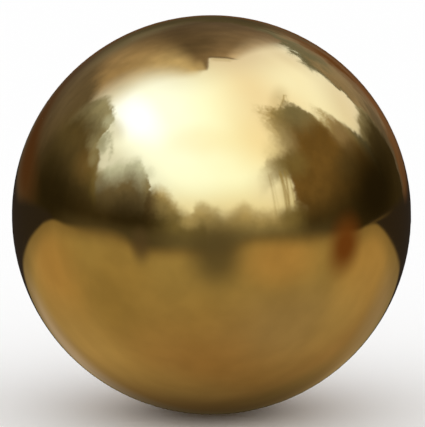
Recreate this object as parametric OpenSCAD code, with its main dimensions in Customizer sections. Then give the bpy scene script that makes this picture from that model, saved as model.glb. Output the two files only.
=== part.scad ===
// Gazing ball: a hollow, mirror-polished steel sphere, sealed all round.
//
// It is made from two cups pressed from sheet. Pressing stretches the sheet, so
// each cup has the sheet's full thickness at its rim and is thinnest at its
// crown. The rims meet edge to edge and are welded. The weld is ground flush and
// polished outside, so no seam shows, and its root stands proud inside.
//
// Units are millimetres. The origin is the centre of the ball, the crowns lie
// on the Z axis, and the weld lies in the plane z = 0.

/* [Ball] */
// Outside diameter of the ball
ball_d = 200; // [60:5:400]

/* [Cups] */
// Thickness of the wall at the rim of each cup
rim_t = 0.7; // [0.4:0.1:2]
// How much thinner the wall is at the crown of each cup
crown_loss = 0.15; // [0.05:0.05:0.3]

/* [Weld] */
// Width of the weld's root on the inside of the wall
root_w = 3; // [1:0.5:6]
// Height of the weld's root above the inside of the wall
root_h = 0.4; // [0.2:0.1:1]

/* [Hidden] */
$fn = 180;

gold = [0.80, 0.62, 0.30];

ball_r = ball_d / 2;

// Radius of the inside at the rims, and its height at the crowns
rim_inside = ball_r - rim_t;
crown_inside = ball_r - (rim_t - crown_loss);

// The inside of a cup is part of the sphere through both. That sphere's centre
// is a little way along the axis from the ball's, towards the cup's own crown.
cup_r = (crown_inside ^ 2 + rim_inside ^ 2) / (2 * crown_inside);
cup_shift = crown_inside - cup_r;

// Radius of an arc that is w wide and rises h above its chord
function arc_radius(w, h) = (w ^ 2 / 4 + h ^ 2) / (2 * h);

// The space inside the two cups. Each sphere bounds the half that its centre is
// in, because there it reaches past the other one.
module cups_inside() {
    for (side = [-1, 1])
        translate([0, 0, side * cup_shift])
            sphere(r = cup_r);
}

// A ring round the equator. Its inner side is the crown of the weld's root, and
// the rest of it lies in the wall and outside.
module weld_root() {
    root_r = arc_radius(root_w, root_h);
    rotate_extrude()
        translate([rim_inside - root_h + root_r, 0])
            circle(r = root_r);
}

module ball() {
    color(gold)
        difference() {
            sphere(r = ball_r);
            difference() {
                cups_inside();
                weld_root();
            }
        }
}

ball();
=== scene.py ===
import math

import bpy
from mathutils import Matrix, Vector


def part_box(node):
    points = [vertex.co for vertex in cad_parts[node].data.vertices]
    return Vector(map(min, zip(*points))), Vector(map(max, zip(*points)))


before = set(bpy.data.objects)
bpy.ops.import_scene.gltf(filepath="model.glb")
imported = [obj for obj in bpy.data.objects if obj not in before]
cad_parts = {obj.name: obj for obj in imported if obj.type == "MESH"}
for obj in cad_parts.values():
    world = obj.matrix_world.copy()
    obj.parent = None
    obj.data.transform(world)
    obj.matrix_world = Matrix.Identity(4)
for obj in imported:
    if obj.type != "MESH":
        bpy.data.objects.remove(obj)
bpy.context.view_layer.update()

# Looks of a gold mirror-polished gazing ball. Lengths are metres in the part's frame: the origin is the
# centre of the ball, and the camera looks along +Y.
#
# A mirror looks like what stands round it, so the mirror alone sees a made-up garden. The camera and the
# floor see plain white light. Directions in the garden are an azimuth and an elevation in degrees. Azimuth
# 0 points at the camera (-Y), 90 to the right of the picture (+X), and 180 away from the camera.
#
# Each thing in the garden has its numbers just before its function, in these forms:
#   fade     (low, high): a share that is 0 at low and 1 at high
#            (low, high, a, b): the same from a to b
#   band     (low, high, soft): a share that is 1 from low to high, with ends that fade over soft each way
#   cloud    (scale, low, high) and perhaps a detail: noise from low to high
#   outline  azimuth and elevation of points along the top of the thing
#   patch    (colour, azimuth and elevation of its middle, half its width, half its height, strength)
# A name that ends in UP is for an elevation, in ACROSS for an azimuth, and in DOWN for a depth below the
# outline.

ball_low, ball_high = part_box("ball")
BALL_R = (ball_high.z - ball_low.z) / 2
FLOOR_Z = ball_low.z

# The photograph's frame, and the circle that the ball fills in it, in pixels from the top left corner
PHOTO_W, PHOTO_H = 425, 427
BALL_PX_X, BALL_PX_Y = 211.5, 214.8
BALL_PX_R = 199.7

CAMERA_ELEVATION = 10
CAMERA_DISTANCE = 2.5
SENSOR_MM = 36

# Reflectance of the gold coating straight on, and the cloud that mixes its two colours
GOLD = (0.85, 0.64, 0.29)
GOLD_WARM = (0.84, 0.60, 0.25)
GOLD_CLOUD = (14, 0, 1)
# The roughness of the polish, from its best to its worst
POLISH_CLOUD = (40, 0.04, 0.08)
# How high the faint waves of the pressed and polished sheet stand, and how close they are
WAVE_HEIGHT = 0.00004
WAVE_SCALE, WAVE_DETAIL = 14, 1.5

WHITE = (1.0, 1.0, 1.0)
BLACK = (0.0, 0.0, 0.0)
FLOOR_COLOR = (0.995, 0.995, 0.995)
FLOOR_SIZE = 60
# Keeps the level part of a position
LEVEL = (1, 1, 0)
# The mirror sees the garden's ground darken towards the ball, between these distances in ball radii, to
# this share of its light
SHADE_NEAR, SHADE_FAR = 0.15, 0.98
SHADE_DARKEST = 0.18

# The light that comes to the mirror from each thing round it
SKY_HORIZON = (0.98, 1.08, 1.12)
SKY_LOW = (1.20, 1.57, 2.10)
SKY_HIGH = (1.30, 1.74, 2.35)
SKY_WARM = (1.14, 1.22, 1.22)
SKY_TAN = (1.06, 1.12, 1.27)
SKY_CREAM = (1.13, 1.32, 1.66)
SKY_REAR = (0.80, 0.80, 0.95)
SKY_DUN = (0.93, 1.02, 1.22)
HAZE = (0.88, 0.97, 1.15)
HAZE_GREEN = (0.78, 0.97, 1.42)
GLOW = (1.25, 1.66, 2.7)
GLOW_CORE = (1.3, 1.75, 3.65)
FASCIA = (0.70, 0.70, 0.73)
WALL_LIT = (0.60, 0.53, 0.40)
WALL_PALE = (0.47, 0.43, 0.43)
WALL = (0.38, 0.30, 0.21)
WALL_DIM = (0.215, 0.168, 0.135)
WALL_SHADE = (0.100, 0.077, 0.056)
BARK = (0.36, 0.33, 0.19)
LEAF_MIST = (0.62, 0.80, 1.06)
LEAF_VEIL = (0.40, 0.51, 0.64)
LEAF_HAZY = (0.62, 0.64, 0.58)
LEAF_SUNNY = (0.46, 0.43, 0.30)
LEAF_PALE = (0.34, 0.38, 0.38)
LEAF_SOFT = (0.27, 0.27, 0.22)
LEAF_GREY = (0.165, 0.175, 0.145)
LEAF_DUSK = (0.13, 0.11, 0.085)
LEAF_DIM = (0.165, 0.150, 0.115)
LEAF_OLIVE = (0.19, 0.17, 0.09)
LEAF_TAN = (0.29, 0.25, 0.20)
LEAF_WARM = (0.175, 0.135, 0.075)
LEAF_BROWN = (0.16, 0.11, 0.045)
LEAF_LOW = (0.090, 0.068, 0.045)
LEAF = (0.098, 0.084, 0.050)
LEAF_DEEP = (0.040, 0.031, 0.014)
LEAF_DARK = (0.014, 0.011, 0.005)
RUST = (0.150, 0.058, 0.016)
RUST_LIT = (0.18, 0.072, 0.022)
RUSSET = (0.135, 0.062, 0.022)
RUST_DARK = (0.075, 0.033, 0.012)
LAWN = (0.335, 0.265, 0.118)
LAWN_WARM = (0.42, 0.29, 0.125)
LAWN_LIT = (0.42, 0.32, 0.16)
LAWN_DULL = (0.29, 0.23, 0.15)
LAWN_BROWN = (0.30, 0.20, 0.095)
LAWN_OLIVE = (0.27, 0.207, 0.088)
LAWN_EDGE_AND_SHADE = (0.22, 0.165, 0.075)
PAVING = (0.40, 0.33, 0.26)
DARK_GROUND = (0.026, 0.021, 0.018)

# Elevations straight down and straight up
LOWEST, HIGHEST = -90, 90
# The part of its range that noise seldom leaves, and its middle
NOISE_LOW, NOISE_HIGH = 0.3, 0.7
NOISE_MIDDLE = (0.5, 0.5, 0.5)
# A soft spot is full from this share of the way to its middle
SPOT_FULL = 0.85
# A spot's size along its own direction is the width of the unit sphere
SPOT_LENGTH = 2
# The share of a trunk's width that is solid, and how softly it ends
TRUNK_CORE = 0.2
TRUNK_END_SOFT = 2


class Graph:
    """Short calls that add a node and return the socket that the next call takes."""

    # The Mix node's sockets for colours
    COLOR_A, COLOR_B, COLOR_OUT = 6, 7, 2

    def __init__(self, tree):
        self.tree = tree
        tree.nodes.clear()

    def node(self, kind, **settings):
        made = self.tree.nodes.new(kind)
        for name, value in settings.items():
            setattr(made, name, value)
        return made

    def feed(self, socket, value):
        """Links a socket, or sets a plain value on it."""
        if isinstance(value, bpy.types.NodeSocket):
            self.tree.links.new(value, socket)
        elif socket.type == "RGBA":
            socket.default_value = (*value, 1)
        else:
            socket.default_value = value

    def feed_all(self, sockets, values):
        for socket, value in zip(sockets, values):
            self.feed(socket, value)

    def math(self, operation, *values):
        made = self.node("ShaderNodeMath", operation=operation)
        self.feed_all(made.inputs, values)
        return made.outputs[0]

    def times(self, *values):
        product = values[0]
        for value in values[1:]:
            product = self.math("MULTIPLY", product, value)
        return product

    def vector(self, operation, *values):
        made = self.node("ShaderNodeVectorMath", operation=operation)
        self.feed_all(made.inputs, values)
        return made.outputs["Vector"]

    def length(self, vector):
        made = self.node("ShaderNodeVectorMath", operation="LENGTH")
        self.feed(made.inputs[0], vector)
        return made.outputs["Value"]

    def scale(self, vector, factor):
        made = self.node("ShaderNodeVectorMath", operation="SCALE")
        self.feed(made.inputs[0], vector)
        self.feed(made.inputs["Scale"], factor)
        return made.outputs["Vector"]

    def mix(self, a, b, share):
        """Colour a where share is 0, and b where it is 1."""
        made = self.node("ShaderNodeMix", data_type="RGBA")
        self.feed(made.inputs[0], share)
        self.feed(made.inputs[self.COLOR_A], a)
        self.feed(made.inputs[self.COLOR_B], b)
        return made.outputs[self.COLOR_OUT]

    def ramp(self, value, low, high, to_low=0.0, to_high=1.0, kind="SMOOTHSTEP"):
        """to_low where value is low, to_high where it is high, and a step between them."""
        made = self.node("ShaderNodeMapRange", interpolation_type=kind)
        self.feed_all(made.inputs, (value, low, high, to_low, to_high))
        return made.outputs[0]

    def between(self, value, low, high, soft):
        """1 between low and high and 0 outside, fading over soft each way at both ends."""
        rising = self.ramp(value, low - soft, low + soft)
        return self.times(rising, self.ramp(value, high - soft, high + soft, 1, 0))

    def cover(self, depth, soft):
        """0 above an outline and 1 below it, fading over soft degrees each way."""
        return self.ramp(self.math("DIVIDE", depth, soft), -1, 1)

    def noise(self, vector, scale, detail=3.0, roughness=0.5):
        made = self.node("ShaderNodeTexNoise")
        self.feed(made.inputs["Vector"], vector)
        self.feed(made.inputs["Scale"], scale)
        self.feed(made.inputs["Detail"], detail)
        self.feed(made.inputs["Roughness"], roughness)
        return made

    def cloud(self, vector, scale, low, high, detail=3.0):
        """Cloudy noise from low to high."""
        return self.ramp(self.noise(vector, scale, detail).outputs["Fac"], NOISE_LOW, NOISE_HIGH, low, high)

    def outline(self, azimuth, points):
        """Elevation at this azimuth of the line through points, and the lowest one outside it."""
        first, last = points[0][0] - 1, points[-1][0] + 1
        points = [(first, LOWEST), *points, (last, LOWEST)]
        middle = (first + last) / 2
        turned = self.math("WRAP", azimuth, middle + 180, middle - 180)
        made = self.node("ShaderNodeFloatCurve")
        spots = [((a - first) / (last - first), (e - LOWEST) / (HIGHEST - LOWEST)) for a, e in points]
        line = made.mapping.curves[0].points
        line[0].location = spots[0]
        line[1].location = spots[-1]
        for x, y in spots[1:-1]:
            line.new(x, y)
        for spot in line:
            spot.handle_type = "AUTO_CLAMPED"
        made.mapping.update()
        self.feed(made.inputs["Value"], self.ramp(turned, first, last, kind="LINEAR"))
        return self.ramp(made.outputs[0], 0, 1, LOWEST, HIGHEST, kind="LINEAR")


def chord(angle):
    """Distance on the unit sphere between two directions that are so many degrees apart."""
    return 2 * math.sin(math.radians(angle) / 2)


class Place:
    """Where a ray of the surround comes from."""

    def __init__(self, graph, direction):
        self.graph = graph
        self.direction = direction
        parts = graph.node("ShaderNodeSeparateXYZ")
        graph.feed(parts.inputs[0], direction)
        toward_camera = graph.times(parts.outputs["Y"], -1.0)
        self.azimuth = graph.math("DEGREES", graph.math("ARCTAN2", parts.outputs["X"], toward_camera))
        self.full_azimuth = graph.math("WRAP", self.azimuth, 360.0, 0.0)
        self.elevation = graph.math("DEGREES", graph.math("ARCSINE", parts.outputs["Z"]))

    def depth(self, points):
        """How many degrees below an outline."""
        return self.graph.math("SUBTRACT", self.graph.outline(self.azimuth, points), self.elevation)

    def spot(self, azimuth, elevation, width, height):
        """A soft spot: 1 at its centre, and 0 that many degrees to its side or above it."""
        g = self.graph
        a, e = math.radians(azimuth), math.radians(elevation)
        centre = Vector((math.sin(a) * math.cos(e), -math.cos(a) * math.cos(e), math.sin(e)))
        east = Vector((math.cos(a), math.sin(a), 0))
        north = centre.cross(east)
        turn = Matrix((east, north, centre)).transposed().to_euler()
        local = g.node("ShaderNodeMapping", vector_type="TEXTURE")
        g.feed_all(local.inputs, (self.direction, centre, turn, (chord(width), chord(height), SPOT_LENGTH)))
        falling = g.node("ShaderNodeTexGradient", gradient_type="SPHERICAL")
        g.feed(falling.inputs[0], local.outputs[0])
        return g.ramp(falling.outputs["Fac"], 0, SPOT_FULL)

    def patches(self, picture, table):
        for color, azimuth, elevation, width, height, strength in table:
            share = self.graph.times(self.spot(azimuth, elevation, width, height), strength)
            picture = self.graph.mix(picture, color, share)
        return picture

    def trunk(self, azimuth, lean, low, high, width):
        """A thin trunk that moves lean degrees to the right for each degree up."""
        g = self.graph
        up = g.math("SUBTRACT", self.elevation, low)
        line = g.math("MULTIPLY_ADD", up, lean, azimuth)
        aside = g.math("ABSOLUTE", g.math("SUBTRACT", self.azimuth, line))
        solid = g.ramp(aside, TRUNK_CORE * width, width, 1, 0)
        return g.times(solid, g.between(self.elevation, low, high, TRUNK_END_SOFT))


# Foliage: the noise that makes an outline leafy, the light and dark clumps, and the single leaves
SHAKE_DETAIL, SHAKE_ROUGHNESS = 6.0, 0.7
CLUMP_CLOUD = (8, 0.90, 1.10, 6.0)
SPECKLE_CLOUD = (60, -0.6, 0.6)
# Trees and shrubs are dark at the foot, and come into the light between these
STAND_LIGHT_UP = (3, 22)


def shaken(g, direction, scale, strength):
    """The direction, moved about by noise, so that an outline looks leafy."""
    noise = g.noise(direction, scale, SHAKE_DETAIL, SHAKE_ROUGHNESS).outputs["Color"]
    move = g.scale(g.vector("SUBTRACT", noise, NOISE_MIDDLE), strength)
    return g.vector("NORMALIZE", g.vector("ADD", direction, move))


def dappled(g, direction, leaves):
    """Leaves with lighter and darker clumps."""
    return g.scale(leaves, g.cloud(direction, *CLUMP_CLOUD))


def leafy_edge(g, direction, depth, soft):
    """0 above an outline and 1 below it, with a speckle of single leaves between."""
    speckle = g.cloud(direction, *SPECKLE_CLOUD)
    return g.ramp(g.math("ADD", g.math("DIVIDE", depth, soft), speckle), -1, 1)


def stand(g, leafy, picture, depth, colors, rim_down, soft):
    """Trees or shrubs under an outline. The colours are the edge's, the one below the rim, and the one at
    the foot."""
    edge, inside, low = colors
    leaves = g.mix(edge, inside, g.ramp(depth, *rim_down))
    leaves = g.mix(low, leaves, g.ramp(leafy.elevation, *STAND_LIGHT_UP))
    leaves = dappled(g, leafy.direction, leaves)
    return g.mix(picture, leaves, g.cover(depth, soft))


# Sky
SKY_LOW_UP = (11, 32)
SKY_HIGH_UP = (45, 85)
SKY_PATCHES = [
    (SKY_WARM, 52, 48, 32, 28, 0.9),
    (SKY_TAN, 104, 64, 58, 44, 1.0),
    (SKY_CREAM, 130, 50, 32, 26, 1.0),
    (SKY_DUN, 129, 27, 32, 20, 1.0),
    (SKY_DUN, 150, 42, 15, 11, 0.8),
    (SKY_REAR, 178, 58, 30, 34, 1.0),
    (HAZE, -124, 62, 28, 36, 1.0),
    (GLOW, -74, 54, 62, 40, 1.0),
    (GLOW_CORE, -76, 53, 28, 13, 1.0),
    (HAZE, -116, 50, 13, 9, 0.2),
    (HAZE_GREEN, -70, 26, 54, 18, 0.9),
    (HAZE_GREEN, -85, 42, 14, 7, 0.7),
    (SKY_WARM, -8, 53, 26, 14, 0.35),
    (SKY_DUN, 40, 24, 22, 15, 0.5),
]


def sky(g, place):
    """Bright haze, with the sun behind it on the left."""
    picture = g.mix(SKY_HORIZON, SKY_LOW, g.ramp(place.elevation, *SKY_LOW_UP))
    picture = g.mix(picture, SKY_HIGH, g.ramp(place.elevation, *SKY_HIGH_UP))
    return place.patches(picture, SKY_PATCHES)


# House
HOUSE_TOPS = [
    (148, 30), (152, 55), (155, 65), (158, 66.6), (165, 67.3), (172, 68), (182.6, 68.2), (183.2, 71),
    (184.5, 75), (187, 77.8), (191, 78.6), (262, 78),
]
HOUSE_SOFT_ACROSS = (190, 222, 0.8, 5)
HOUSE_RIGHT_END_ACROSS = (154, 163)
# The left end is a slanting line: its azimuth drops by this many degrees for each degree up
HOUSE_LEFT_END_LEAN = 0.45
HOUSE_LEFT_END_ACROSS = (240, 285, 1, 0)
WALL_CLOUD = (9, 0.88, 1.12, 5.0)
# The lit wall, from its dim foot to its top
LIT_FOOT_UP = (6, 46)
LIT_TOP_UP = (40, 72)
# The shaded wall, with a paler strip at its right-hand end
SHADED_ACROSS = (190, 162, 0.1, 1.0)
SHADED_FOOT_UP = (24, 44, 0.8, 1.0)
SHADED_TOP_UP = (50, 70, 1.0, 1.6)
STRIP_ACROSS = (170, 160)
STRIP_UP = (22, 44)
STRIP_STRENGTH = 0.8
# Where the lit wall takes over from the shaded one, how much further round that is higher up, and the
# light at the step in the roof's edge
LIT_ACROSS = (187, 208)
LIT_MOVE_UP = (25, 50, 0, 4)
STEP_UP = (66, 76)
STEP_ACROSS = (187, 194)
STEP_STRENGTH = 0.7
# What hangs under the edge of the roof, and the painted shadow that the roof's edge casts on the wall just
# under it
ROOF_ACROSS = (160, 180, 2)
FASCIA_DOWN = (-2.2, 1, 0.5)
FASCIA_STRENGTH = 0.8
GUTTER_DOWN = (-2.8, -2.2, 0.4)
GUTTER_STRENGTH = 0.35
EAVE_SHADOW_DOWN = (0, 1.2, 0.6)
EAVE_SHADOW_ACROSS = (184, 182)


def lit_wall(g, place):
    wall = g.mix(WALL, WALL_LIT, g.ramp(place.elevation, *LIT_TOP_UP))
    return g.mix(LEAF_DUSK, wall, g.ramp(place.elevation, *LIT_FOOT_UP))


def shaded_wall(g, place):
    across = place.full_azimuth
    wall = g.mix(WALL_SHADE, WALL_DIM, g.ramp(across, *SHADED_ACROSS))
    wall = g.scale(wall, g.ramp(place.elevation, *SHADED_FOOT_UP))
    strip = g.times(g.ramp(across, *STRIP_ACROSS), g.ramp(place.elevation, *STRIP_UP), STRIP_STRENGTH)
    wall = g.mix(wall, WALL_PALE, strip)
    return g.scale(wall, g.ramp(place.elevation, *SHADED_TOP_UP))


def lit_share(g, place):
    """The share of the lit wall: 0 in the middle of the house, and 1 on the left."""
    across = place.full_azimuth
    moved = g.math("SUBTRACT", across, g.ramp(place.elevation, *LIT_MOVE_UP))
    step = g.times(g.ramp(place.elevation, *STEP_UP), g.ramp(across, *STEP_ACROSS), STEP_STRENGTH)
    return g.math("MAXIMUM", g.ramp(moved, *LIT_ACROSS), step)


def house(g, place, picture):
    """A rendered wall behind the ball, under the edge of a roof."""
    across = place.full_azimuth
    depth = place.depth(HOUSE_TOPS)
    wall = g.mix(shaded_wall(g, place), lit_wall(g, place), lit_share(g, place))
    roof = g.between(across, *ROOF_ACROSS)
    fascia = g.times(g.between(depth, *FASCIA_DOWN), roof, FASCIA_STRENGTH)
    picture = g.mix(picture, FASCIA, fascia)
    gutter = g.times(g.between(depth, *GUTTER_DOWN), roof, GUTTER_STRENGTH)
    picture = g.mix(picture, WALL, gutter)
    # Painted shadow of the roof's edge: a thin band of the shaded wall's colour just under the outline
    eave_shadow = g.times(g.between(depth, *EAVE_SHADOW_DOWN), g.ramp(across, *EAVE_SHADOW_ACROSS))
    wall = g.mix(wall, WALL_SHADE, eave_shadow)
    wall = g.scale(wall, g.cloud(place.direction, *WALL_CLOUD))
    slanted = g.math("MULTIPLY_ADD", place.elevation, HOUSE_LEFT_END_LEAN, across)
    ends = g.times(g.ramp(slanted, *HOUSE_LEFT_END_ACROSS), g.ramp(across, *HOUSE_RIGHT_END_ACROSS))
    cover = g.cover(depth, g.ramp(across, *HOUSE_SOFT_ACROSS))
    return g.mix(picture, wall, g.times(cover, ends))


# Trees behind the ball
REAR_TREE_TOPS = [
    (135, 5), (138, 20), (139, 27.5), (140.5, 31), (142, 36.5), (146, 38), (152, 37.3), (156, 35.5),
    (160, 32.5), (166, 28), (180, 22), (195, 20), (205, 16), (240, 5),
]
REAR_SOFT = 2.4
REAR_RIM_DOWN = (3, 9)
REAR_DARK_ACROSS = (163, 176)
REAR_DUSK_UP = (16, 7)
REAR_DUSK_ACROSS = (156, 150)
REAR_PATCHES = [
    (LEAF_GREY, 157, 26, 10, 8, 0.9),
    (LEAF_DEEP, 180, 8, 14, 22, 0.45),
    (RUSSET, 163, 12, 14, 11, 1.0),
    (LEAF_DUSK, 144, 12, 6, 6, 0.6),
]
# Rust-coloured shrubs at their foot
RUSSET_UP = (9, 1)
RUSSET_ACROSS = (146, 153)
RUSSET_STRENGTH = 0.9
RUSSET_PATCHES = [(RUST_LIT, 164, 4, 9, 6, 0.6)]
RUST_DARK_UP = (0, -9)
RUST_DARK_STRENGTH = 0.6


def rear_trees(g, leafy, picture):
    """Trees between the house and the ball, in autumn colours, with rust-coloured shrubs at their foot."""
    across = leafy.full_azimuth
    depth = leafy.depth(REAR_TREE_TOPS)
    leaves = g.mix(LEAF_GREY, LEAF_TAN, g.ramp(depth, *REAR_RIM_DOWN))
    dusk = g.times(g.ramp(leafy.elevation, *REAR_DUSK_UP), g.ramp(across, *REAR_DUSK_ACROSS))
    leaves = g.mix(leaves, LEAF_DUSK, dusk)
    leaves = g.mix(leaves, LEAF, g.ramp(across, *REAR_DARK_ACROSS))
    leaves = leafy.patches(leaves, REAR_PATCHES)
    russet = g.times(g.ramp(leafy.elevation, *RUSSET_UP), g.ramp(across, *RUSSET_ACROSS), RUSSET_STRENGTH)
    leaves = g.mix(leaves, RUSSET, russet)
    leaves = leafy.patches(leaves, RUSSET_PATCHES)
    rust_dark = g.times(g.ramp(leafy.elevation, *RUST_DARK_UP), RUST_DARK_STRENGTH)
    leaves = g.mix(leaves, RUST_DARK, rust_dark)
    leaves = dappled(g, leafy.direction, leaves)
    return g.mix(picture, leaves, leafy_edge(g, leafy.direction, depth, REAR_SOFT))


# Fronds: thin leafy branches with gaps in them, which fill a band of depths
HIGH_FROND_TOPS = [(-93, 38.5), (-86, 40.5), (-80, 39), (-75, 36), (-72, 33)]
HIGH_FROND_DOWN = (0, 3.5, 1.5)
LOW_FROND_TOPS = [(-94, 33), (-88, 33.5), (-82, 32.5), (-77, 32)]
LOW_FROND_DOWN = (0, 2, 1.5)
FROND_GAPS = (30, 0.2, 0.8, 2.0)
FROND_PATCHES = [(LEAF_VEIL, -87, 35, 8, 6, 0.95)]


def frond(g, leafy, picture, points, down):
    gaps = g.cloud(leafy.direction, *FROND_GAPS)
    share = g.times(g.between(leafy.depth(points), *down), gaps)
    return g.mix(picture, LEAF_VEIL, share)


# Thicket: what changes with the distance from its middle is named FROM_MIDDLE
THICKET_TOPS = [
    (-88, 8), (-82, 20), (-78, 23), (-74, 24.5), (-70, 27), (-65.5, 30), (-61, 31), (-57, 33.5),
    (-51.5, 35.5), (-47, 32.8), (-43, 29.3), (-40, 26.5), (-38.2, 22), (-36, 16), (-33, 5),
]
THICKET_MIDDLE = -59
THICKET_MIST_FROM_MIDDLE = (9, 20)
THICKET_SOFT_FROM_MIDDLE = (4, 14, 4.5, 1.4)
THICKET_RIM_DOWN = (0, 15)


def thicket(g, leafy, picture):
    """Round shrubs against the light: mist at the middle of their top, and sharper at the sides."""
    from_middle = g.math("ABSOLUTE", g.math("ADD", leafy.azimuth, -THICKET_MIDDLE))
    edge = g.mix(LEAF_MIST, LEAF_SOFT, g.ramp(from_middle, *THICKET_MIST_FROM_MIDDLE))
    depth = leafy.depth(THICKET_TOPS)
    soft = g.ramp(from_middle, *THICKET_SOFT_FROM_MIDDLE)
    return stand(g, leafy, picture, depth, (edge, LEAF_DIM, LEAF_DEEP), THICKET_RIM_DOWN, soft)


# Bank
BANK_TOPS = [
    (-40, 10), (-38.6, 21), (-36.5, 22), (-33.5, 22.8), (-29.5, 22.2), (-26, 20), (-22, 16), (-18, 12.3),
    (-14, 9.5), (-9, 7), (-3, 3),
]
BANK_EDGE_ACROSS = (-38, -30)
BANK_INSIDE_ACROSS = (-38, -28, 0.1, 0.8)
BANK_FOOT_ACROSS = (-38, -15)
BANK_RIM_DOWN = (0, 9)
BANK_SOFT = 4.5


def bank(g, leafy, picture):
    """Low shrubs that come down to the right, and catch more sun there."""
    across = leafy.azimuth
    depth = leafy.depth(BANK_TOPS)
    inside = g.mix(LEAF_LOW, LEAF_SUNNY, g.ramp(across, *BANK_INSIDE_ACROSS))
    low = g.mix(LEAF_DEEP, LEAF_OLIVE, g.ramp(across, *BANK_FOOT_ACROSS))
    edge = g.mix(LEAF_DIM, LEAF_SUNNY, g.ramp(across, *BANK_EDGE_ACROSS))
    return stand(g, leafy, picture, depth, (edge, inside, low), BANK_RIM_DOWN, BANK_SOFT)


# Left-hand tree
LEFT_TREE_TOPS = [
    (-172, 0), (-165, 12), (-158, 20), (-150, 27), (-143, 31), (-138, 34), (-131, 36.5), (-126, 36.5),
    (-123, 37), (-121, 39), (-119, 42), (-116, 44), (-112, 44.8), (-106, 45.5), (-101, 46), (-95, 45.3),
    (-91, 43.8), (-89.6, 41), (-89.2, 34), (-87, 31.5), (-83, 30.5), (-79.6, 28), (-77.6, 23.5),
    (-75.8, 19.5), (-74, 15), (-71, 8),
]
LEFT_EDGE_ACROSS = (-128, -114)
LEFT_EDGE_END_ACROSS = (-93, -86)
LEFT_INSIDE_ACROSS = (-138, -118)
LEFT_FOOT_ACROSS = (-150, -115)
LEFT_RIM_DOWN = (0, 17)
LEFT_SOFT_ACROSS = (-150, -97, 6, 1.2)


def left_tree(g, leafy, picture):
    across = leafy.azimuth
    edge = g.mix(LEAF_DUSK, LEAF_PALE, g.ramp(across, *LEFT_EDGE_ACROSS))
    edge = g.mix(edge, LEAF_OLIVE, g.ramp(across, *LEFT_EDGE_END_ACROSS))
    inside = g.mix(LEAF_DUSK, LEAF, g.ramp(across, *LEFT_INSIDE_ACROSS))
    low = g.mix(LEAF_LOW, LEAF_DEEP, g.ramp(across, *LEFT_FOOT_ACROSS))
    depth = leafy.depth(LEFT_TREE_TOPS)
    soft = g.ramp(across, *LEFT_SOFT_ACROSS)
    return stand(g, leafy, picture, depth, (edge, inside, low), LEFT_RIM_DOWN, soft)


LEFT_PATCHES = [
    (LEAF_WARM, -88, 22, 13, 12, 0.6),
    (LEAF_PALE, -90, 31.5, 10, 6, 0.55),
    (LEAF_SOFT, -165, 21, 14, 10, 0.3),
    (LEAF_SUNNY, -12, 6, 9, 7, 0.8),
    (LEAF_MIST, -94, 42.5, 7, 5, 0.55),
    (LEAF_VEIL, -82, 33, 5, 4, 0.7),
    (LEAF_PALE, -84, 26, 5, 5, 0.6),
    (LEAF_MIST, -42, 30, 6, 5, 0.4),
    (LEAF_DIM, -72, 19.5, 7, 5, 0.6),
]


def left_trees(g, leafy, picture):
    picture = leafy.patches(picture, FROND_PATCHES)
    picture = frond(g, leafy, picture, HIGH_FROND_TOPS, HIGH_FROND_DOWN)
    picture = frond(g, leafy, picture, LOW_FROND_TOPS, LOW_FROND_DOWN)
    picture = thicket(g, leafy, picture)
    picture = bank(g, leafy, picture)
    picture = left_tree(g, leafy, picture)
    return leafy.patches(picture, LEFT_PATCHES)


# Low trees at the far right
LOW_TREE_TOPS = [
    (112, 12), (118.5, 20), (122, 21.8), (124, 21.2), (126.5, 23), (130, 22.3), (133, 21), (136.5, 21.5),
    (139.5, 19), (143, 10), (147, -3),
]
LOW_TREE_RIM_DOWN = (0, 8)
LOW_TREE_SOFT = 1.8


def low_trees(g, leafy, picture):
    depth = leafy.depth(LOW_TREE_TOPS)
    colors = (LEAF_SOFT, LEAF, LEAF_DEEP)
    return stand(g, leafy, picture, depth, colors, LOW_TREE_RIM_DOWN, LOW_TREE_SOFT)


# Thin trees: a canopy of leaves on bare trunks, with haze behind
CANOPY_TOPS = [(29, 28), (33, 33), (37, 36), (42, 38), (47, 38), (51, 38), (58, 38)]
CANOPY_DOWN = (0, 12.5, 3)
CANOPY_ACROSS = (26, 52, 0, 0.95)
CANOPY_HAZE_PATCHES = [(LEAF_HAZY, 51, 36, 14, 16, 0.7)]
TRUNK_HAZE_PATCHES = [(LEAF_HAZY, 47, 18, 8, 14, 0.5)]
# Azimuth at the foot, lean, lowest and highest elevation, width, and how dark
TRUNKS = [
    (37.4, 0.0, 7, 30, 0.9, 0.5),
    (39.5, -0.02, 7, 30, 0.7, 0.3),
    (44.3, 0.04, 8, 30, 1.2, 0.8),
    (46.2, -0.02, 8, 30, 0.9, 0.7),
    (46.2, 0.14, 12, 30, 0.9, 0.8),
    (49.5, 0.05, 8, 30, 0.9, 0.5),
]
TRUNK_FOOT_PATCHES = [
    (LEAF_OLIVE, 47, 6, 13, 9, 0.8),
    (LEAF_OLIVE, 53, 10, 5, 10, 0.85),
]


def thin_trees(g, place, leafy, picture):
    picture = leafy.patches(picture, CANOPY_HAZE_PATCHES)
    canopy = g.between(leafy.depth(CANOPY_TOPS), *CANOPY_DOWN)
    picture = g.mix(picture, LEAF_OLIVE, g.times(canopy, g.ramp(leafy.azimuth, *CANOPY_ACROSS)))
    picture = place.patches(picture, TRUNK_HAZE_PATCHES)
    for azimuth, lean, low, high, width, strength in TRUNKS:
        bark = g.times(place.trunk(azimuth, lean, low, high, width), strength)
        picture = g.mix(picture, BARK, bark)
    return leafy.patches(picture, TRUNK_FOOT_PATCHES)


# Twig: a straight piece that ends in a bent one. The bent piece is the rim of a small soft spot.
TWIG_ACROSS = (84, 102, 1)
TWIG_UP = (57.8, 58.6, 0.6)
TWIG_LEAVES_SPOT = (91, 60, 15, 6)
TWIG_LEAVES_STRENGTH = 0.35
BEND_SPOT = (97, 57.4, 3.8, 1.7)
BEND_RIM = (0.15, 0.4, 0.1)
BEND_STRENGTH = 0.8


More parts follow.
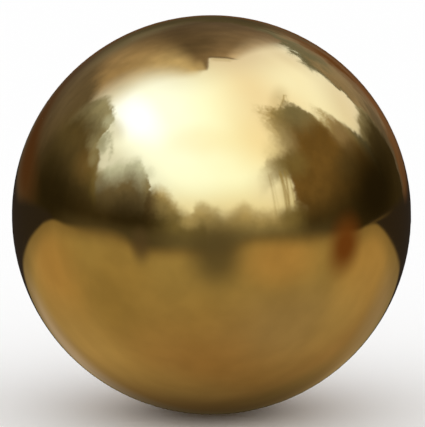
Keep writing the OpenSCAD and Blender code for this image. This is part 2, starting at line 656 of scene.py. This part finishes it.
def twig(g, place, leafy, picture):
    """A twig that stands up out of the right-hand tree, with thin leaves round it."""
    straight = g.times(g.between(place.azimuth, *TWIG_ACROSS), g.between(place.elevation, *TWIG_UP))
    thin_leaves = g.times(place.spot(*TWIG_LEAVES_SPOT), TWIG_LEAVES_STRENGTH)
    picture = g.mix(picture, LEAF_SUNNY, g.math("MAXIMUM", straight, thin_leaves))
    bend = g.times(g.between(leafy.spot(*BEND_SPOT), *BEND_RIM), BEND_STRENGTH)
    return g.mix(picture, LEAF_SUNNY, bend)


# Right-hand tree
RIGHT_TREE_TOPS = [
    (44, 54), (52, 57), (58, 59.5), (63, 61.5), (70, 62.5), (75, 61.5), (80, 59.5), (85, 58), (90, 57),
    (95, 55.5), (97, 52), (98, 47), (98.8, 42), (100.5, 40.6), (104, 41.4), (108, 39.8), (111, 35.7),
    (113, 30.5), (116, 26.5), (118.5, 22.5), (121, 17),
]
RIGHT_EDGE_ACROSS = (108, 118)
RIGHT_RIM_DOWN = (0, 18)
RIGHT_TREE_PATCHES = [
    (LEAF_HAZY, 57, 47, 13, 16, 0.55),
    (LEAF_GREY, 90, 52, 20, 15, 0.8),
    (LEAF_OLIVE, 57, 32, 14, 11, 0.7),
    (LEAF_TAN, 107, 31, 12, 13, 0.75),
    (LEAF, 97, 20, 17, 10, 0.6),
]
# The dark foot's lowest elevation, and its highest at each azimuth
RIGHT_FOOT_LOW = -2
RIGHT_FOOT_HIGH_ACROSS = (62, 95, 20, 33)
# The top edge is soft on the left, sharp in the middle, and soft again where the branches hang
RIGHT_SOFT_ACROSS = (56, 80, 9, 2)
HANGING_ACROSS = (93, 111, 4)
HANGING_SOFT = 3.5
# The left side fades in from one azimuth to another. Both depend on whether the crown or the foot spreads
# there, or neither does
CROWN_SPREAD_UP = (26, 45)
FOOT_SPREAD_UP = (16, 6)
SIDE_FROM_SPREAD = (0, 1, 49.5, 45.5)
SIDE_TO_SPREAD = (0, 1, 53, 61)


def right_tree_side(g, leafy):
    crown = g.ramp(leafy.elevation, *CROWN_SPREAD_UP)
    spread = g.math("MAXIMUM", crown, g.ramp(leafy.elevation, *FOOT_SPREAD_UP))
    return g.ramp(leafy.azimuth, g.ramp(spread, *SIDE_FROM_SPREAD), g.ramp(spread, *SIDE_TO_SPREAD))


def right_tree(g, place, leafy, picture):
    depth = leafy.depth(RIGHT_TREE_TOPS)
    edge = g.mix(LEAF_SUNNY, LEAF_GREY, g.ramp(leafy.azimuth, *RIGHT_EDGE_ACROSS))
    leaves = g.mix(edge, LEAF_BROWN, g.ramp(depth, *RIGHT_RIM_DOWN))
    leaves = leafy.patches(leaves, RIGHT_TREE_PATCHES)
    foot_high = g.ramp(place.azimuth, *RIGHT_FOOT_HIGH_ACROSS)
    leaves = g.mix(LEAF_DEEP, leaves, g.ramp(place.elevation, RIGHT_FOOT_LOW, foot_high))
    leaves = dappled(g, leafy.direction, leaves)
    hanging = g.times(g.between(place.azimuth, *HANGING_ACROSS), HANGING_SOFT)
    soft = g.math("ADD", g.ramp(place.azimuth, *RIGHT_SOFT_ACROSS), hanging)
    cover = leafy_edge(g, leafy.direction, depth, soft)
    return g.mix(picture, leaves, g.times(cover, right_tree_side(g, leafy)))


# Shrubs far off behind the camera
FAR_SHRUB_TOPS = [
    (-20, 4), (-12, 7.5), (-10.3, 13), (-8.5, 16.3), (-6, 17), (-3, 16.4), (0, 14.5), (3, 13.6), (4.8, 12),
    (6.7, 10.8), (9, 11.5), (12, 12.5), (15, 14.3), (18, 16), (21, 15.5), (23.5, 13), (27, 12), (34, 11),
    (45, 10), (75, 10),
]
FAR_RIM_DOWN = (0, 8)
FAR_FOOT_UP = (12, -3, 0, 0.75)
FAR_RIGHT_ACROSS = (36, 50)
FAR_EDGE_DOWN = (-3, 3)


def far_shrubs(g, leafy, picture):
    depth = leafy.depth(FAR_SHRUB_TOPS)
    leaves = g.mix(LEAF_HAZY, LEAF_SUNNY, g.ramp(depth, *FAR_RIM_DOWN))
    leaves = g.mix(leaves, LEAF_OLIVE, g.ramp(leafy.elevation, *FAR_FOOT_UP))
    leaves = g.mix(leaves, LEAF_OLIVE, g.ramp(leafy.azimuth, *FAR_RIGHT_ACROSS))
    leaves = dappled(g, leafy.direction, leaves)
    return g.mix(picture, leaves, g.ramp(depth, *FAR_EDGE_DOWN))


# Painted shade: dark hollows under the trees, and a darker band along their foot
TREE_SHADE_PATCHES = [
    (LEAF_DARK, -107, 5, 38, 22, 0.72),
    (LEAF_DARK, 112, 4, 40, 24, 0.95),
    (LEAF_DARK, -48, 5, 17, 22, 0.45),
    (RUST_DARK, -149, 1, 34, 11, 0.95),
]
FOOT_SHADE_ACROSS = (-92, 75, 15)
FOOT_SHADE_UP = (4, -5)
FOOT_SHADE_STRENGTH = 0.65

# A dark band of ground behind the ball, with a kerb along part of it
DARK_GROUND_TOPS = [
    (95, -12), (103, -5), (125, -4.5), (140, -5), (155, -6.5), (180, -7), (195, -6.5), (210, -6), (225, -4),
    (240, -2.5), (250, -2), (262, -8),
]
DARK_GROUND_EDGE_DOWN = (-1.5, 1.5)
KERB_DOWN = (0.2, 0.9, 0.5)
KERB_ACROSS = (98, 122, 10)
KERB_STRENGTH = 0.3

# Lawn. Its outline goes all the way round, and a little further, so that its ends meet.
LAWN_TOPS = [
    (-186, -17), (-160, -16), (-150, -15.6), (-140, -14.5), (-130, -12.3), (-120, -9.3), (-110, -5.8),
    (-100, -3.9), (-90, -4.3), (-62, -4), (-52, -5.5), (-44, -9), (-36, -10.5), (-15, -10), (0, -11),
    (10, -8.5), (20, -4.5), (30, -3.5), (60, -5.5), (93, -6.5), (100, -5.8), (108, -6.2), (115, -8.5),
    (125, -12), (135, -14.5), (145, -15.8), (155, -16), (186, -17),
]
LAWN_RIM_DOWN = (-1, 8)
LAWN_CLOUD = (4, 0.94, 1.06, 4.0)
LAWN_SOFT_FROM_CAMERA = (60, 100, 4, 0.8)
LAWN_PATCHES = [
    (LAWN_BROWN, 0, -90, 66, 66, 1.0),
    # Painted shade: a darker, browner patch of ground behind the ball
    (LAWN_BROWN, 160, -46, 60, 42, 1.0),
    (LAWN_DULL, 65, -52, 48, 38, 0.6),
    (LAWN_OLIVE, -72, -38, 32, 22, 0.5),
    (LAWN_WARM, -112, -22, 34, 28, 1.0),
    (LAWN_WARM, 40, -17, 34, 21, 1.0),
    (LAWN_WARM, 106, -20, 34, 26, 0.8),
    (LAWN_LIT, -124, -46, 30, 24, 0.8),
    (LAWN_LIT, 108, -38, 24, 20, 0.5),
    (PAVING, -159, -26, 22, 17, 0.85),
    (LAWN_LIT, -150, -64, 30, 26, 0.5),
    (LAWN_DULL, 146, -25, 24, 14, 0.7),
    # Painted shade on the ground behind the ball
    (LAWN_EDGE_AND_SHADE, 160, -42, 22, 20, 0.7),
]

# A rust-coloured shrub on the right, and dark low ones in front of the ball and to the left. The one in
# front reaches down over the lawn, where it is the shrub's painted shadow
NEAR_PATCHES = [
    (RUST, 83, -12, 17, 18, 1.0),
    # Dark shrub, and below the lawn's edge its painted shadow
    (LEAF, 3, -12, 23, 30, 0.88),
    (LEAF_LOW, -41, -9, 8, 14, 0.75),
]


# Painted shade in the hollows under the trees, and along their foot
def tree_shade(g, place, picture):
    picture = place.patches(picture, TREE_SHADE_PATCHES)
    across = g.between(place.azimuth, *FOOT_SHADE_ACROSS)
    share = g.times(across, g.ramp(place.elevation, *FOOT_SHADE_UP), FOOT_SHADE_STRENGTH)
    return g.mix(picture, LEAF, share)


def dark_ground(g, place, picture):
    depth = place.depth(DARK_GROUND_TOPS)
    picture = g.mix(picture, DARK_GROUND, g.ramp(depth, *DARK_GROUND_EDGE_DOWN))
    kerb = g.times(g.between(depth, *KERB_DOWN), g.between(place.azimuth, *KERB_ACROSS), KERB_STRENGTH)
    return g.mix(picture, LAWN_EDGE_AND_SHADE, kerb)


def lawn(g, place, picture):
    depth = place.depth(LAWN_TOPS)
    grass = place.patches(LAWN, LAWN_PATCHES)
    grass = g.mix(LAWN_EDGE_AND_SHADE, grass, g.ramp(depth, *LAWN_RIM_DOWN))
    grass = g.scale(grass, g.cloud(place.direction, *LAWN_CLOUD))
    from_camera = g.math("ABSOLUTE", place.azimuth)
    cover = g.cover(depth, g.ramp(from_camera, *LAWN_SOFT_FROM_CAMERA))
    return g.mix(picture, grass, cover)


# Scale and strength of the noise that shakes most leaves, and of the one for the trees behind the ball
LEAFY_SHAKE = (26, 0.11)
RAGGED_SHAKE = (15, 0.30)


def garden(g, direction):
    place = Place(g, direction)
    leafy = Place(g, shaken(g, direction, *LEAFY_SHAKE))
    ragged = Place(g, shaken(g, direction, *RAGGED_SHAKE))
    picture = sky(g, place)
    picture = house(g, place, picture)
    picture = rear_trees(g, ragged, picture)
    picture = far_shrubs(g, leafy, picture)
    picture = left_trees(g, leafy, picture)
    picture = low_trees(g, leafy, picture)
    picture = thin_trees(g, place, leafy, picture)
    picture = twig(g, place, leafy, picture)
    picture = right_tree(g, place, leafy, picture)
    picture = tree_shade(g, place, picture)
    picture = dark_ground(g, place, picture)
    picture = lawn(g, place, picture)
    return place.patches(picture, NEAR_PATCHES)


def mirror_ray(g):
    """1 for a ray that a mirror or a clear thing sends out, and 0 for the camera's own and soft light's."""
    path = g.node("ShaderNodeLightPath")
    return g.math("MAXIMUM", path.outputs["Is Glossy Ray"], path.outputs["Is Transmission Ray"])


def make_surround():
    """Even white studio light and a white backdrop. The mirror alone sees the garden."""
    world = bpy.data.worlds.new("studio")
    bpy.context.scene.world = world
    world.use_nodes = True
    # Light found by sampling the world directly would carry no ray type, and the mirror would go white
    world.cycles.sampling_method = "NONE"
    g = Graph(world.node_tree)
    picture = garden(g, g.node("ShaderNodeTexCoord").outputs["Generated"])
    background = g.node("ShaderNodeBackground")
    g.feed(background.inputs["Color"], g.mix(WHITE, picture, mirror_ray(g)))
    output = g.node("ShaderNodeOutputWorld")
    g.feed(output.inputs["Surface"], background.outputs[0])


def polished_gold():
    """A mirror of gold-coloured coating, with faint clouds in its colour and polish and faint waves."""
    material = bpy.data.materials.new("polished_gold")
    material.use_nodes = True
    g = Graph(material.node_tree)
    place = g.node("ShaderNodeTexCoord").outputs["Object"]
    shader = g.node("ShaderNodeBsdfPrincipled")
    g.feed(shader.inputs["Base Color"], g.mix(GOLD, GOLD_WARM, g.cloud(place, *GOLD_CLOUD)))
    g.feed(shader.inputs["Metallic"], 1.0)
    g.feed(shader.inputs["Roughness"], g.cloud(place, *POLISH_CLOUD))
    waves = g.node("ShaderNodeBump")
    g.feed(waves.inputs["Distance"], WAVE_HEIGHT)
    g.feed(waves.inputs["Height"], g.noise(place, WAVE_SCALE, WAVE_DETAIL).outputs["Fac"])
    g.feed(shader.inputs["Normal"], waves.outputs[0])
    output = g.node("ShaderNodeOutputMaterial")
    g.feed(output.inputs["Surface"], shader.outputs[0])
    return material


def pale_floor():
    """White, with the ball's own shadow. The mirror looks through it to the garden's ground."""
    material = bpy.data.materials.new("pale_floor")
    material.use_nodes = True
    g = Graph(material.node_tree)
    diffuse = g.node("ShaderNodeBsdfDiffuse")
    g.feed(diffuse.inputs["Color"], FLOOR_COLOR)
    position = g.node("ShaderNodeNewGeometry").outputs["Position"]
    reach = g.length(g.vector("MULTIPLY", position, LEVEL))
    shade = g.ramp(reach, SHADE_NEAR * BALL_R, SHADE_FAR * BALL_R, SHADE_DARKEST, 1.0)
    clear = g.node("ShaderNodeBsdfTransparent")
    g.feed(clear.inputs["Color"], g.mix(BLACK, WHITE, shade))
    mixed = g.node("ShaderNodeMixShader")
    g.feed_all(mixed.inputs, (mirror_ray(g), diffuse.outputs[0], clear.outputs[0]))
    output = g.node("ShaderNodeOutputMaterial")
    g.feed(output.inputs["Surface"], mixed.outputs[0])
    return material


def make_floor():
    bpy.ops.mesh.primitive_plane_add(size=FLOOR_SIZE, location=(0, 0, FLOOR_Z))
    floor = bpy.context.object
    floor.name = "floor"
    floor.data.materials.append(pale_floor())


def make_camera():
    """The camera looks at the ball's centre, and its shift brings the ball to its place in the frame."""
    camera = bpy.data.cameras.new("camera")
    holder = bpy.data.objects.new("camera", camera)
    bpy.context.scene.collection.objects.link(holder)
    bpy.context.scene.camera = holder
    tilt = math.radians(CAMERA_ELEVATION)
    back = Vector((0, -math.cos(tilt), math.sin(tilt)))
    holder.location = back * CAMERA_DISTANCE
    holder.rotation_euler = (-back).to_track_quat("-Z", "Y").to_euler()
    long_side = max(PHOTO_W, PHOTO_H)
    half_angle = math.asin(BALL_R / CAMERA_DISTANCE)
    camera.sensor_width = SENSOR_MM
    camera.lens = SENSOR_MM * BALL_PX_R / (long_side * math.tan(half_angle))
    camera.shift_x = (PHOTO_W / 2 - BALL_PX_X) / long_side
    camera.shift_y = (BALL_PX_Y - PHOTO_H / 2) / long_side


def dress_ball():
    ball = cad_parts["ball"]
    ball.data.materials.clear()
    ball.data.materials.append(polished_gold())
    # The mesh's own normals lean along its seam, and a mirror shows that. These point away from the centre.
    round_off = ball.modifiers.new("round_off", "NORMAL_EDIT")
    round_off.mode = "RADIAL"
    round_off.no_polynors_fix = True


make_camera()
dress_ball()
make_floor()
make_surround()
bpy.context.scene.view_settings.view_transform = "Standard"
